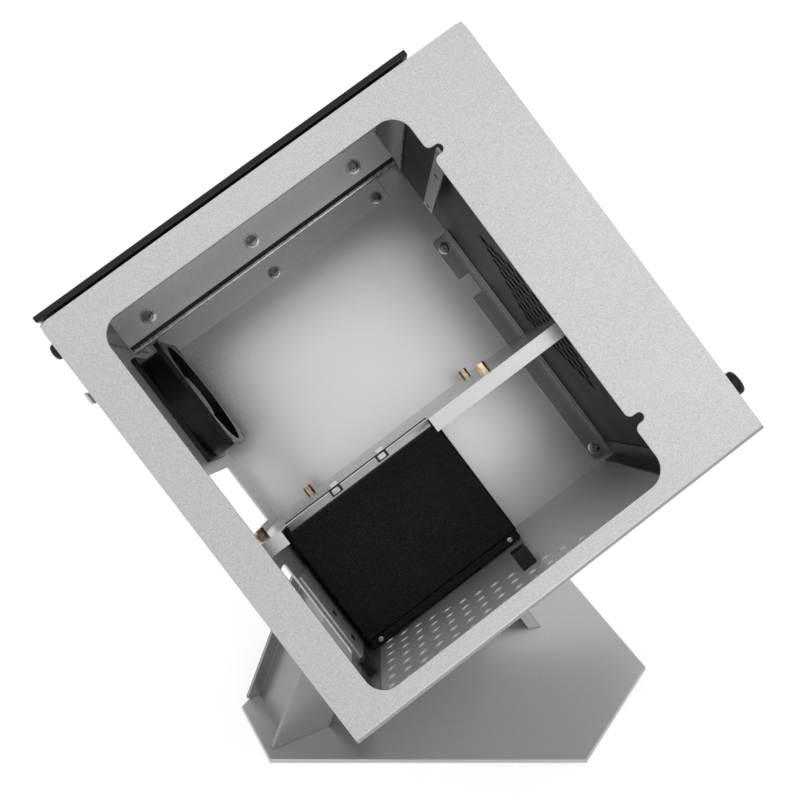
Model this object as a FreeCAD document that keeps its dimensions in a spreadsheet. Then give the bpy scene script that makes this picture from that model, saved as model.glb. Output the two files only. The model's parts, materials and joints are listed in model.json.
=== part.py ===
import FreeCAD, Part
import os
import Sketcher

# A cube-shaped computer case that stands on one corner, held by a flat six-sided base.
# Case pieces are drawn square to the case (x to the right cover, y to the glass, z to the front)
# and share one tilted placement. The stand is drawn in the upright frame, origin under the base.

doc = FreeCAD.newDocument("ComputerCase")
sizes = doc.addObject("Spreadsheet::Sheet", "sizes")

VALUES = [
    ("case_size", 270.0, "outer edge of the cube"),
    ("sheet", 2.0, "outer sheet thickness"),
    ("inner_sheet", 1.2, "inner sheet thickness"),
    ("bend_radius", 3.0, "outer radius of the fold below the front"),
    ("plate_corner", 5.0, "free corners of the front plate"),
    ("rim_left", 22.3, "front rim beside the rear wall"),
    ("rim_right", 56.1, "front rim beside the right cover"),
    ("rim_top", 18.8, "front rim beside the glass"),
    ("rim_bottom", 12.0, "front rim beside the fold"),
    ("opening_radius", 12.0, "corner radius of the front opening"),
    ("notch_inset", 47.4, "upper finger notch to the glass side"),
    ("notch_high", "=case_size - notch_inset", "upper finger notch, y"),
    ("notch_low", 45.8, "lower finger notch, y"),
    ("notch_reach", 5.2, "notch depth to the centre of its round end"),
    ("notch_radius", 2.7, "round end of a notch"),
    ("notch_neck", 3.5, "fillet where a notch leaves the opening"),
    ("hole_radius", 3.5, "vent hole in the folded wall"),
    ("hole_first_x", 24.0, "first hole column"),
    ("hole_first_z", 62.4, "first hole row"),
    ("hole_column", 11.33, "hole column pitch"),
    ("hole_row", 23.35, "hole row pitch"),
    ("rear_recess", 6.2, "depth of the recessed rear panel"),
    ("io_low", 116.5, "port cut-out, lower edge y"),
    ("io_height", 44.45, "port cut-out height"),
    ("io_back", 52.0, "port cut-out, back end z"),
    ("io_length", 158.75, "port cut-out length"),
    ("cable_low", 20.0, "cable opening, lower edge y"),
    ("cable_high", 90.0, "cable opening, upper edge y"),
    ("cable_back", 124.0, "cable opening, back edge z"),
    ("cable_margin", 24.0, "cable opening to the front"),
    ("cable_front", "=case_size - cable_margin", "cable opening, front edge z"),
    ("cable_corner", 4.0, "corner radius of the cable opening"),
    ("tie_slot", 4.0, "small slots beside the power supply, width"),
    ("tie_low", 20.0, "lower tie slot, y"),
    ("tie_high", 40.0, "upper tie slot, y"),
    ("tie_back", 84.0, "tie slots, back end z"),
    ("vent_gap", 42.0, "slotted inner wall to the outside of the right cover"),
    ("vent_x", "=case_size - vent_gap", "inner face of the slotted inner wall"),
    ("slot_length", 12.0, "slot length"),
    ("slot_width", 9.0, "slot width"),
    ("slot_step", 8.0, "half pitch of the slot field"),
    ("slot_y", 120.0, "slot field centre y"),
    ("slot_z", 77.0, "slot field back end z"),
    ("slot_count", 8.0, "slots along each diagonal"),
    ("guide_line", 20.0, "length of the lines that the slots step along"),
    ("tray_top", 112.0, "top face of the board tray"),
    ("tray_front", 250.0, "front face of the tray flange"),
    ("tray_drop", 8.8, "height of the tray flange"),
    ("tray_recess_left", 32.0, "recess in the tray, left end"),
    ("tray_recess_right", 130.0, "recess in the tray, right end"),
    ("tray_recess_back", 212.0, "recess in the tray, back edge"),
    ("clip_first", 64.0, "first cable clip, x"),
    ("clip_second", 96.0, "second cable clip, x"),
    ("clip_size", 5.0, "cable clip"),
    ("standoff_x", 17.9, "first board standoff, x"),
    ("standoff_z", 210.3, "first board standoff, z"),
    ("standoff_span_x", 154.94, "board hole spacing across"),
    ("standoff_span_z", 157.48, "board hole spacing along the ports"),
    ("standoff_offset", 22.86, "offset of the fourth board hole"),
    ("standoff_height", 6.35, "standoff height"),
    ("standoff_flats", 5.0, "standoff across its flats"),
    ("standoff_bore", 1.6, "threaded hole radius"),
    ("supply_width", 125.0, "power supply width"),
    ("supply_length", 100.0, "power supply length"),
    ("supply_height", 63.5, "power supply height"),
    ("supply_x", 12.0, "power supply, left side"),
    ("supply_y", 3.9, "power supply, lower side"),
    ("supply_band", 5.4, "chassis band below the cover"),
    ("supply_step", 0.8, "step from cover to chassis"),
    ("supply_edge", 1.0, "broken edge of the cover"),
    ("fan_size", 80.0, "fan frame edge"),
    ("fan_depth", 20.0, "fan frame depth"),
    ("fan_top", 21.6, "fan frame to the glass side"),
    ("fan_y", "=case_size - fan_top - fan_size", "fan frame, lower side y"),
    ("fan_z", 45.0, "fan frame, back side z"),
    ("fan_rim", 2.5, "fan air passage to the frame edge"),
    ("fan_bore", "=fan_size / 2 - fan_rim", "fan air passage radius"),
    ("fan_hole_inset", 4.25, "fan screw to the frame edge"),
    ("fan_hole_span", "=fan_size - 2 * fan_hole_inset", "fan screw spacing"),
    ("fan_hole", 2.2, "fan screw hole radius"),
    ("fan_corner", 4.0, "fan frame corner radius"),
    ("fan_flange", 3.2, "thickness of each fan flange"),
    ("fan_wall", 1.5, "wall of the fan barrel"),
    ("fan_barrel", "=fan_bore + fan_wall", "outside radius of the fan barrel"),
    ("fan_spoke", 4.0, "width of a fan spoke"),
    ("hub_radius", 16.0, "impeller hub radius"),
    ("hub_length", 13.0, "impeller hub length"),
    ("blade_gap", 1.0, "blade tip to barrel"),
    ("blade_thick", 1.6, "blade thickness"),
    ("blade_angle", 38.0, "blade pitch"),
    ("blade_chord", 15.0, "blade chord"),
    ("turn_gap", 0.6, "running clearance of the impeller"),
    ("top_rail_leg", 18.6, "top rail, leg on the back wall"),
    ("top_rail_reach", 30.0, "top rail, leg on the top wall"),
    ("cross_z", 165.0, "front face of the cross rail"),
    ("cross_drop", 22.8, "height of the cross rail"),
    ("cross_reach", 20.0, "cross rail, leg on the top wall"),
    ("right_rail_leg", 14.0, "right rail, leg on the back wall"),
    ("right_rail_reach", 14.0, "right rail, leg on the slotted wall"),
    ("right_rail_low", 5.0, "right rail, lower end"),
    ("right_rail_high", 204.4, "right rail, upper end"),
    ("right_rail_round", 4.0, "right rail, rounded corners"),
    ("right_rail_notch_low", 154.3, "right rail notch, lower end"),
    ("right_rail_notch_high", 171.0, "right rail notch, upper end"),
    ("right_rail_notch_deep", 8.4, "right rail notch, depth"),
    ("screw_head", 3.4, "rail screw head radius"),
    ("screw_high", 2.2, "rail screw head height"),
    ("screw_socket", 1.3, "rail screw socket radius"),
    ("screw_cross_drop", 10.7, "screws on the cross rail to the top wall"),
    ("screw_cross_first", 36.7, "screws on the cross rail, first x"),
    ("screw_cross_step", 75.1, "screws on the cross rail, spacing"),
    ("screw_back_inset", 15.6, "screws on the back wall to the glass side"),
    ("screw_back_y", "=case_size - screw_back_inset", "screws on the back wall, y"),
    ("screw_back_first", 110.7, "screws on the back wall, first x"),
    ("screw_back_step", 90.9, "screws on the back wall, spacing"),
    ("screw_right_inset", 8.4, "screws on the right rail to the slotted wall"),
    ("screw_right_x", "=vent_x - screw_right_inset", "screws on the right rail, x"),
    ("screw_right_low", 13.5, "screws on the right rail, first y"),
    ("screw_right_step", 182.0, "screws on the right rail, spacing"),
    ("post_leg", 9.0, "corner strip leg"),
    ("channel_high", 13.0, "leg of the black strip in the lower right corner"),
    ("post_inset", 8.0, "corner strips to the front"),
    ("post_front", "=case_size - post_inset", "front end of the corner strips"),
    ("strip_inset", 4.5, "hanger strip behind the rim of the opening"),
    ("strip_x", "=case_size - rim_right + strip_inset", "hanger strip, left face"),
    ("strip_wide", 9.0, "hanger strip width"),
    ("strip_over", 1.0, "hanger strip above the middle of the notch"),
    ("strip_high", "=notch_high + strip_over", "hanger strip, upper edge"),
    ("strip_low", "=strip_high - strip_wide", "hanger strip, lower edge"),
    ("strip_back", 76.0, "hanger strip, back end"),
    ("strip_hole", 1.6, "hanger strip hole radius"),
    ("strip_hole_first", 12.0, "hanger strip, back end to first hole"),
    ("strip_hole_second", 128.0, "hanger strip, back end to second hole"),
    ("block_x", 122.5, "support block, left side"),
    ("block_width", 10.0, "support block width"),
    ("block_high", 12.0, "support block height"),
    ("block_back", 158.0, "support block, back side"),
    ("block_long", 16.0, "support block length"),
    ("block_edge", 5.4, "width of the block at the rear wall"),
    ("glass_wide", 236.0, "glass panel edge"),
    ("glass_thick", 3.6, "glass thickness"),
    ("glass_gap", 1.6, "height of the pads under the glass"),
    ("glass_pad", 14.0, "edge of a square pad under the glass"),
    ("glass_inset", 18.0, "pad centre to glass edge"),
    ("button_y", 27.0, "power button, y"),
    ("button_inset", 15.0, "power button to the front"),
    ("button_z", "=case_size - button_inset", "power button, z"),
    ("button_radius", 7.0, "power button radius"),
    ("button_proud", 11.0, "power button height over the cover"),
    ("button_dome", 3.0, "height of the domed end"),
    ("button_skirt", 4.0, "button length inside the guide"),
    ("button_travel", 2.0, "button travel"),
    ("button_clear", 0.4, "button to guide"),
    ("guide_wall", 2.0, "wall of the button guide"),
    ("guide_stop", 3.0, "stop below the button skirt"),
    ("knob_inset", 13.5, "rear knob to the glass side"),
    ("knob_y", "=case_size - knob_inset", "rear knob, y"),
    ("knob_front", 16.0, "rear knob to the front"),
    ("knob_z", "=case_size - knob_front", "rear knob, z"),
    ("knob_radius", 4.6, "rear knob radius"),
    ("knob_proud", 5.4, "rear knob height"),
    ("hook_inset", 46.2, "rear hook to the glass side"),
    ("hook_y", "=case_size - hook_inset", "rear hook, lower side"),
    ("hook_wide", 6.7, "rear hook width"),
    ("hook_front", 22.0, "rear hook to the front"),
    ("hook_z", "=case_size - hook_front", "rear hook, back side"),
    ("hook_long", 8.0, "rear hook length"),
    ("hook_proud", 5.0, "rear hook height"),
    ("case_yaw", 28.25, "turn of the case about the upright axis"),
    ("case_pitch", 25.61, "rise of the case's lowest edge"),
    ("case_roll", 47.78, "roll of the case about its lowest edge"),
    ("case_x", -68.0, "lowest corner, x"),
    ("case_y", -10.0, "lowest corner, y"),
    ("corner_gap", 6.0, "lowest corner over the base"),
    ("base_thick", 3.0, "base plate thickness"),
    ("base_front", 211.0, "front and right edges of the base"),
    ("base_cut", 52.0, "cut corners of the base with a leg"),
    ("base_cut_right", 93.0, "cut corner of the base without a leg"),
    ("base_x", -149.3, "base, left end"),
    ("base_y", -103.5, "base, front edge"),
    ("base_chamfer", 0.6, "broken edge of the base"),
    ("pad_thick", 1.0, "rubber pads below the base"),
    ("pad_size", 16.0, "edge of a square rubber pad"),
    ("pad_inset", 22.0, "rubber pad to base edge"),
    ("seat_size", 18.0, "edge of the square corner seat"),
    ("leg_sheet", 3.0, "stand sheet thickness"),
    ("left_x", -135.3, "left leg foot, x"),
    ("left_y", -72.6, "left leg foot, y"),
    ("left_wide", 52.0, "left leg width"),
    ("left_foot", 41.0, "left leg foot length"),
    ("left_lean", 66.2, "left leg slope"),
    ("left_web", 9.0, "left leg web behind its outer edge"),
    ("back_left", 62.0, "back leg, left side"),
    ("back_wide", 48.0, "back leg width"),
    ("back_high", 52.0, "back leg reach up the back wall"),
    ("back_low", 8.0, "back leg, start of the set-back edge"),
    ("back_set", 11.0, "back leg set-back below the case"),
    ("back_deep", 42.0, "back leg depth"),
    ("back_lip", 8.5, "lip on the back leg"),
    ("trim_size", 600.0, "edge of the block that trims the back leg"),
    ("bolt_head", 3.6, "leg bolt head radius"),
    ("bolt_high", 2.4, "leg bolt head height"),
    ("bolt_socket", 1.5, "leg bolt socket radius"),
]

for row, (name, value, note) in enumerate(VALUES, 1):
    sizes.set("A%d" % row, name)
    sizes.set("B%d" % row, str(value))
    sizes.set("C%d" % row, note)
    sizes.setAlias("B%d" % row, name)
doc.recompute()


def size(name):
    return float(sizes.get(name))


def bound(text):
    # an expression in the names of the sheet
    out = ""
    word = ""
    for ch in text + " ":
        if ch.isalnum() or ch == "_":
            word += ch
            continue
        known = any(word == row[0] for row in VALUES)
        out += ("sizes." + word) if known else word
        out += ch
        word = ""
    return out.strip()


def worth(text):
    # the number that an expression in sheet names gives
    return doc.sizes.evalExpression(bound(text).replace("sizes.", ""))


def number(value):
    return float(getattr(value, "Value", value))


CASE = FreeCAD.Placement(
    FreeCAD.Vector(size("case_x"), size("case_y"),
                   size("pad_thick") + size("base_thick") + size("corner_gap")),
    FreeCAD.Rotation(size("case_yaw"), -size("case_pitch"), size("case_roll")))
PLANES = {"x": "YZ_Plane", "y": "XZ_Plane", "z": "XY_Plane"}
SIGN = {"x": 1, "y": -1, "z": 1}


def body(label, placement=CASE):
    made = doc.addObject("PartDesign::Body", label)
    made.Label = label
    made.Placement = placement
    return made


def sketch(owner, name, axis, level):
    made = owner.newObject("Sketcher::SketchObject", name)
    plane = [f for f in owner.Origin.OriginFeatures if PLANES[axis] in f.Role or PLANES[axis] in f.Name]
    made.AttachmentSupport = [(plane[0], "")]
    made.MapMode = "FlatFace"
    text = bound(level)
    made.setExpression(".AttachmentOffset.Base.z", text if SIGN[axis] > 0 else "-(%s)" % text)
    return made


def pin(made, geometry, point, across, along):
    # ties one sketch point to the sketch origin by two bound distances
    for kind, axis, text in (("DistanceX", -2, across), ("DistanceY", -1, along)):
        if text == "0":
            made.addConstraint(Sketcher.Constraint("PointOnObject", geometry, point, axis))
            continue
        start = number(worth(text))
        index = made.addConstraint(Sketcher.Constraint(kind, -1, 1, geometry, point, start))
        made.setExpression("Constraints[%d]" % index, bound(text))


def outline(made, corners):
    points = [FreeCAD.Vector(number(worth(u)), number(worth(v)), 0) for u, v in corners]
    count = len(points)
    first = made.GeometryCount
    for i in range(count):
        made.addGeometry(Part.LineSegment(points[i], points[(i + 1) % count]), False)
    for i in range(count):
        made.addConstraint(Sketcher.Constraint("Coincident", first + i, 2, first + (i + 1) % count, 1))
    for i, (u, v) in enumerate(corners):
        pin(made, first + i, 1, u, v)


def circle(made, across, along, radius):
    centre = FreeCAD.Vector(number(worth(across)), number(worth(along)), 0)
    ring = Part.Circle(centre, FreeCAD.Vector(0, 0, 1), number(worth(radius)))
    index = made.addGeometry(ring, False)
    pin(made, index, 3, across, along)
    held = made.addConstraint(Sketcher.Constraint("Radius", index, number(worth(radius))))
    made.setExpression("Constraints[%d]" % held, bound(radius))


def box(u0, u1, v0, v1):
    return [(u0, v0), (u1, v0), (u1, v1), (u0, v1)]


def square(u, v, edge):
    return box("%s - %s / 2" % (u, edge), "%s + %s / 2" % (u, edge),
               "%s - %s / 2" % (v, edge), "%s + %s / 2" % (v, edge))


def polygon(u, v, radius, count):
    # corners of a regular polygon about (u, v)
    turns = [360.0 * (i + 0.5) / count for i in range(count)]
    return [("%s + %s * cos(%.3f)" % (u, radius, t), "%s + %s * sin(%.3f)" % (v, radius, t)) for t in turns]


def add(owner, name, axis, low, high, corners=None, rings=None, more=None):
    made = sketch(owner, name + "_sketch", axis, low)
    for loop in ([corners] if corners else []) + (more or []):
        outline(made, loop)
    for ring in rings or []:
        circle(made, *ring)
    pad = owner.newObject("PartDesign::Pad", name)
    pad.Profile = made
    pad.setExpression("Length", bound("(%s) - (%s)" % (high, low)))
    pad.Reversed = SIGN[axis] < 0
    return pad


def cut(owner, name, axis, low, high, corners=None, rings=None, more=None):
    made = sketch(owner, name + "_sketch", axis, low)
    for loop in ([corners] if corners else []) + (more or []):
        outline(made, loop)
    for ring in rings or []:
        circle(made, *ring)
    pocket = owner.newObject("PartDesign::Pocket", name)
    pocket.Profile = made
    pocket.setExpression("Length", bound("(%s) - (%s)" % (high, low)))
    pocket.Reversed = SIGN[axis] > 0
    return pocket


def along_axis(shape, direction, test):
    # names of straight edges along a direction whose middle passes a test
    names = []
    for i, edge in enumerate(shape.Edges, 1):
        if edge.Curve.TypeId != "Part::GeomLine":
            continue
        if abs(abs(edge.tangentAt(edge.FirstParameter).dot(direction)) - 1) > 1e-6:
            continue
        if test(edge.CenterOfMass):
            names.append("Edge%d" % i)
    return names


def near(value, goal):
    return abs(value - goal) < 0.02


def local_edges(feature, direction, test):
    doc.recompute()
    return along_axis(feature.Shape, FreeCAD.Vector(*direction), test)


def soften(owner, name, feature, edges, radius, kind="Fillet"):
    made = owner.newObject("PartDesign::" + kind, name)
    made.Base = (feature, edges)
    made.setExpression("Radius" if kind == "Fillet" else "Size", bound(radius))
    owner.Tip = made
    return made


# Front plate and lower wall, one folded sheet
shell = body("front_shell_blank")
plate = add(shell, "front_plate", "z", "case_size - sheet", "case_size",
            box("0", "case_size", "0", "case_size"))
wall = add(shell, "folded_wall", "y", "0", "sheet", box("0", "case_size", "0", "case_size - sheet"))
opening = cut(shell, "front_opening", "z", "case_size - 2 * sheet", "case_size + 1",
              box("rim_left", "case_size - rim_right", "rim_bottom", "case_size - rim_top"))
edges = local_edges(opening, (0, 0, 1), lambda p: p.z > size("case_size") - size("sheet")
                    and 5 < p.x < size("case_size") - 5 and 5 < p.y < size("case_size") - 5)
opening = soften(shell, "opening_corners", opening, edges, "opening_radius")
for mark in ("notch_high", "notch_low"):
    side = "case_size - rim_right"
    slot = cut(shell, mark + "_slot", "z", "case_size - 2 * sheet", "case_size + 1",
               box(side + " - 1", side + " + notch_reach",
                   mark + " - notch_radius", mark + " + notch_radius"))
    end = cut(shell, mark + "_end", "z", "case_size - 2 * sheet", "case_size + 1",
              rings=[(side + " + notch_reach", mark, "notch_radius")])
doc.recompute()
limit = size("case_size") - size("rim_right")
edges = local_edges(end, (0, 0, 1), lambda p: near(p.x, limit) and 20 < p.y < size("case_size") - 25)
necks = soften(shell, "notch_necks", end, edges, "notch_neck")
edges = local_edges(necks, (0, 0, 1), lambda p: near(p.y, size("case_size")))
corners = soften(shell, "plate_corners", necks, edges, "plate_corner")
edges = local_edges(corners, (1, 0, 0), lambda p: near(p.y, 0) and near(p.z, size("case_size")))
fold = soften(shell, "fold", corners, edges, "bend_radius")
across = FreeCAD.Rotation(FreeCAD.Vector(1, 0, 0), -90)
punches = []
for column in range(13):
    for row in range(8):
        if 2 * row + column % 2 < column or (column % 2 and row == 7):
            continue
        step = row + 0.5 * (column % 2)
        spot = FreeCAD.Vector(size("hole_first_x") + column * size("hole_column"), -size("sheet"),
                              size("hole_first_z") + step * size("hole_row"))
        punch = doc.addObject("Part::Prism", "punch_%d" % (len(punches) + 1))
        punch.Polygon = 12
        punch.setExpression("Circumradius", "sizes.hole_radius")
        punch.setExpression("Height", "3 * sizes.sheet")
        punch.Placement = CASE * FreeCAD.Placement(spot, across)
        punches.append(punch)
vent_holes = doc.addObject("Part::Compound", "vent_holes")
vent_holes.Links = punches
front_shell = doc.addObject("Part::Cut", "front_shell")
front_shell.Base = shell
front_shell.Tool = vent_holes
front_shell.Label = "front_shell"

# Plain outer walls
back = body("back_wall")
add(back, "back_plate", "z", "0", "sheet", box("rear_recess + inner_sheet", "case_size - sheet",
                                               "sheet", "case_size - sheet"))

top = body("top_wall")
add(top, "top_plate", "y", "case_size - sheet", "case_size",
    box("0", "case_size", "0", "case_size - sheet"))

cover = body("right_cover")
add(cover, "cover_plate", "x", "case_size - sheet", "case_size",
    box("sheet", "case_size - sheet", "0", "case_size - sheet"))
cut(cover, "button_hole", "x", "case_size - 2 * sheet", "case_size + 1",
    rings=[("button_y", "button_z", "button_radius + button_clear + guide_wall")])

# Rear wall, a shallow pan with the port cut-out, fan grille opening and cable opening
rear = body("rear_wall")
add(rear, "rear_panel", "x", "rear_recess", "rear_recess + inner_sheet",
    box("sheet", "case_size - sheet", "0", "case_size - sheet"))
add(rear, "pan_low", "x", "0", "rear_recess", box("sheet", "sheet + inner_sheet", "0", "case_size - sheet"))
add(rear, "pan_high", "x", "0", "rear_recess",
    box("case_size - sheet - inner_sheet", "case_size - sheet", "0", "case_size - sheet"))
add(rear, "pan_back", "x", "0", "rear_recess",
    box("sheet + inner_sheet", "case_size - sheet - inner_sheet", "0", "inner_sheet"))
add(rear, "pan_front", "x", "0", "rear_recess",
    box("sheet + inner_sheet", "case_size - sheet - inner_sheet",
        "case_size - sheet - inner_sheet", "case_size - sheet"))
cut(rear, "port_cutout", "x", "rear_recess - 1", "rear_recess + 2 * inner_sheet",
    box("io_low", "io_low + io_height", "io_back", "io_back + io_length"))
cable = cut(rear, "cable_opening", "x", "rear_recess - 1", "rear_recess + 2 * inner_sheet",
            box("cable_low", "cable_high", "cable_back", "cable_front"))
edges = local_edges(cable, (1, 0, 0),
                    lambda p: near(p.y, size("cable_low")) or near(p.y, size("cable_high")))
cable = soften(rear, "cable_corners", cable, edges, "cable_corner")
fan_mid_y = "fan_y + fan_size / 2"
fan_mid_z = "fan_z + fan_size / 2"
fan_holes = [(fan_mid_y + " %s fan_hole_span / 2" % a, fan_mid_z + " %s fan_hole_span / 2" % b, "fan_hole")
             for a in "+-" for b in "+-"]
cut(rear, "fan_opening", "x", "rear_recess - 1", "rear_recess + 2 * inner_sheet",
    rings=[(fan_mid_y, fan_mid_z, "fan_bore")] + fan_holes)
cut(rear, "tie_slots", "x", "rear_recess - 1", "rear_recess + 2 * inner_sheet",
    box("tie_high", "tie_high + tie_slot", "tie_back", "tie_back + 2 * tie_slot"))
cut(rear, "tie_slots_low", "x", "rear_recess - 1", "rear_recess + 2 * inner_sheet",
    box("tie_low", "tie_low + tie_slot", "tie_back", "tie_back + 2 * tie_slot"))

# Slotted inner wall; the slots fill a diamond, stepped along two diagonals
vent = body("vent_wall")
add(vent, "vent_plate", "x", "vent_x", "vent_x + inner_sheet",
    box("sheet", "case_size - sheet", "sheet", "case_size - sheet"))
slot = cut(vent, "vent_slot", "x", "vent_x - 1", "vent_x + 2 * inner_sheet",
           [("slot_y - slot_length / 2", "slot_z"),
            ("slot_y - slot_length / 2 + slot_width / 2", "slot_z - slot_width / 2"),
            ("slot_y + slot_length / 2 - slot_width / 2", "slot_z - slot_width / 2"),
            ("slot_y + slot_length / 2", "slot_z"),
            ("slot_y + slot_length / 2 - slot_width / 2", "slot_z + slot_width / 2"),
            ("slot_y - slot_length / 2 + slot_width / 2", "slot_z + slot_width / 2")])
lines = slot.Profile[0]
middle = FreeCAD.Vector(size("slot_y"), size("slot_z"), 0)
run = size("guide_line")
for sense in (1, -1):
    line = lines.addGeometry(Part.LineSegment(middle, middle + FreeCAD.Vector(sense * run, run, 0)), True)
    pin(lines, line, 1, "slot_y", "slot_z")
    pin(lines, line, 2, "slot_y + %d * guide_line" % sense, "slot_z + guide_line")
field = vent.newObject("PartDesign::MultiTransform", "slot_field")
field.Originals = [slot]
steps = []
for name, axis in (("slots_up", "Axis0"), ("slots_down", "Axis1")):
    pattern = vent.newObject("PartDesign::LinearPattern", name)
    pattern.Direction = (lines, [axis])
    pattern.setExpression("Length", bound("(slot_count - 1) * slot_step * sqrt(2)"))
    pattern.setExpression("Occurrences", bound("slot_count"))
    steps.append(pattern)
field.Transformations = steps
vent.Tip = field

# Board tray with a front flange and a recess for cables
tray = body("board_tray")
inside = "rear_recess + inner_sheet"
add(tray, "tray_plate", "y", "tray_top - inner_sheet", "tray_top",
    box(inside, "vent_x", "sheet + inner_sheet", "tray_front"))
cut(tray, "tray_rail_corner", "y", "tray_top - inner_sheet - 1", "tray_top + 1",
    box("vent_x - inner_sheet", "vent_x + 1", "sheet", "sheet + right_rail_reach"))
add(tray, "tray_flange", "z", "tray_front - inner_sheet", "tray_front",
    box(inside, "vent_x", "tray_top - tray_drop", "tray_top - inner_sheet"))
cut(tray, "tray_recess", "y", "tray_top - tray_drop - 1", "tray_top + 1",
    box("tray_recess_left", "tray_recess_right", "tray_recess_back", "tray_front + 1"))
add(tray, "recess_flange", "z", "tray_recess_back - inner_sheet", "tray_recess_back",
    box("tray_recess_left", "tray_recess_right", "tray_top - tray_drop / 2", "tray_top - inner_sheet"))
for name, mark in (("clip_one", "clip_first"), ("clip_two", "clip_second")):
    add(tray, name, "y", "tray_top", "tray_top + clip_size / 2",
        box(mark, mark + " + clip_size", "tray_recess_back - clip_size", "tray_recess_back"))

# Hexagonal board standoffs, threaded through
stand_off = body("standoffs")
spots = [("standoff_x", "standoff_z"), ("standoff_x + standoff_span_x", "standoff_z"),
         ("standoff_x + standoff_offset", "standoff_z - standoff_span_z"),
         ("standoff_x + standoff_span_x", "standoff_z - standoff_span_z")]
half = "standoff_flats / 2"
side = "standoff_flats / (2 * sqrt(3))"
for i, (u, v) in enumerate(spots):
    add(stand_off, "standoff_%d" % (i + 1), "y", "tray_top", "tray_top + standoff_height",
        [(u + " + 2 * " + side, v), (u + " + " + side, v + " + " + half),
         (u + " - " + side, v + " + " + half), (u + " - 2 * " + side, v),
         (u + " - " + side, v + " - " + half), (u + " + " + side, v + " - " + half)])
cut(stand_off, "standoff_threads", "y", "tray_top", "tray_top + standoff_height + 1",
    rings=[(u, v, "standoff_bore") for u, v in spots])

# Power supply, a folded cover over a shallow chassis
supply = body("supply_cover")
block = add(supply, "cover_box", "z", "sheet", "sheet + supply_height",
            box("supply_x", "supply_x + supply_width",
                "supply_y + supply_band", "supply_y + supply_length"))
edges = local_edges(block, (1, 0, 0), lambda p: p.z > size("supply_height"))
edges += local_edges(block, (0, 1, 0), lambda p: p.z > size("supply_height"))
soften(supply, "cover_edges", block, edges, "supply_edge", "Chamfer")

chassis = body("supply_chassis")
add(chassis, "chassis_box", "z", "sheet", "sheet + supply_height - supply_step",
    box("supply_x + supply_step", "supply_x + supply_width - supply_step",
        "supply_y", "supply_y + supply_band"))

# Fan frame: two flanges, barrel, motor plate on four spokes
frame = body("fan_frame")
fan_end = inside + " + fan_depth"
fan_outline = box("fan_y", "fan_y + fan_size", "fan_z", "fan_z + fan_size")
add(frame, "wall_flange", "x", inside, inside + " + fan_flange", fan_outline)
flange = add(frame, "free_flange", "x", fan_end + " - fan_flange", fan_end, fan_outline)
barrel = add(frame, "barrel", "x", inside + " + fan_flange", fan_end + " - fan_flange",
             rings=[(fan_mid_y, fan_mid_z, "fan_barrel")])
low_y = size("fan_y")
low_z = size("fan_z")
edges = local_edges(barrel, (1, 0, 0),
                    lambda p: (near(p.y, low_y) or near(p.y, low_y + size("fan_size")))
                    and (near(p.z, low_z) or near(p.z, low_z + size("fan_size"))))
soften(frame, "frame_corners", barrel, edges, "fan_corner")
cut(frame, "air_passage", "x", inside + " - 1", fan_end + " + 1",
    rings=[(fan_mid_y, fan_mid_z, "fan_bore")] + fan_holes)
add(frame, "motor_plate", "x", inside, inside + " + fan_flange",
    rings=[(fan_mid_y, fan_mid_z, "hub_radius")])
add(frame, "spokes_across", "x", inside, inside + " + fan_flange",
    box("fan_y + 1", "fan_y + fan_size - 1",
        fan_mid_z + " - fan_spoke / 2", fan_mid_z + " + fan_spoke / 2"))
add(frame, "spokes_along", "x", inside, inside + " + fan_flange",
    box(fan_mid_y + " - fan_spoke / 2", fan_mid_y + " + fan_spoke / 2",
        "fan_z + 1", "fan_z + fan_size - 1"))

# Impeller, drawn about its own axis; flat blades set at one pitch round the hub
hub_at = FreeCAD.Vector(number(worth(inside + " + fan_flange + turn_gap + hub_length / 2")),
                        number(worth(fan_mid_y)), number(worth(fan_mid_z)))
impeller = body("fan_impeller", CASE * FreeCAD.Placement(hub_at, FreeCAD.Rotation()))
hub = add(impeller, "hub", "x", "-hub_length / 2", "hub_length / 2", rings=[("0", "0", "hub_radius")])
turn = "blade_angle"
blade_corners = []
for a, b in ((1, 1), (1, -1), (-1, -1), (-1, 1)):
    along = "%d * blade_chord / 2" % a
    thick = "%d * blade_thick / 2" % b
    blade_corners.append(("(%s) * sin(%s) + (%s) * cos(%s)" % (along, turn, thick, turn),
                          "(%s) * cos(%s) - (%s) * sin(%s)" % (along, turn, thick, turn)))
blade = add(impeller, "blade", "y", "hub_radius - 4", "fan_bore - blade_gap", blade_corners)
blades = impeller.newObject("PartDesign::PolarPattern", "blades")
blades.Originals = [blade]
blades.Axis = (hub.Profile[0], ["N_Axis"])
blades.Angle = 360
blades.Occurrences = 7
impeller.Tip = blades

fan_screw = body("fan_screws")
add(fan_screw, "fan_screw_heads", "x", "rear_recess - screw_high", "rear_recess",
    rings=[(u, v, "screw_head") for u, v, r in fan_holes])
add(fan_screw, "fan_screw_shanks", "x", "rear_recess", inside + " + fan_flange",
    rings=[(u, v, "fan_hole - turn_gap / 2") for u, v, r in fan_holes])

# Rails that tie the back wall to the top wall and to the slotted wall
rail = body("top_rail")
high = "case_size - sheet"
rail_left = inside + " + post_leg"
rail_right = "vent_x - 2 * post_leg"
add(rail, "top_rail_back", "z", "sheet", "sheet + inner_sheet",
    box(rail_left, rail_right, high + " - top_rail_leg", high))
add(rail, "top_rail_top", "y", high + " - inner_sheet", high,
    box(rail_left, rail_right, "sheet + inner_sheet", "top_rail_reach"))

cross = body("cross_rail")
add(cross, "cross_face", "z", "cross_z - inner_sheet", "cross_z",
    box(rail_left, rail_right, high + " - cross_drop", high))
add(cross, "cross_leg", "y", high + " - inner_sheet", high,
    box(rail_left, rail_right, "cross_z - cross_reach", "cross_z - inner_sheet"))

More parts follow.
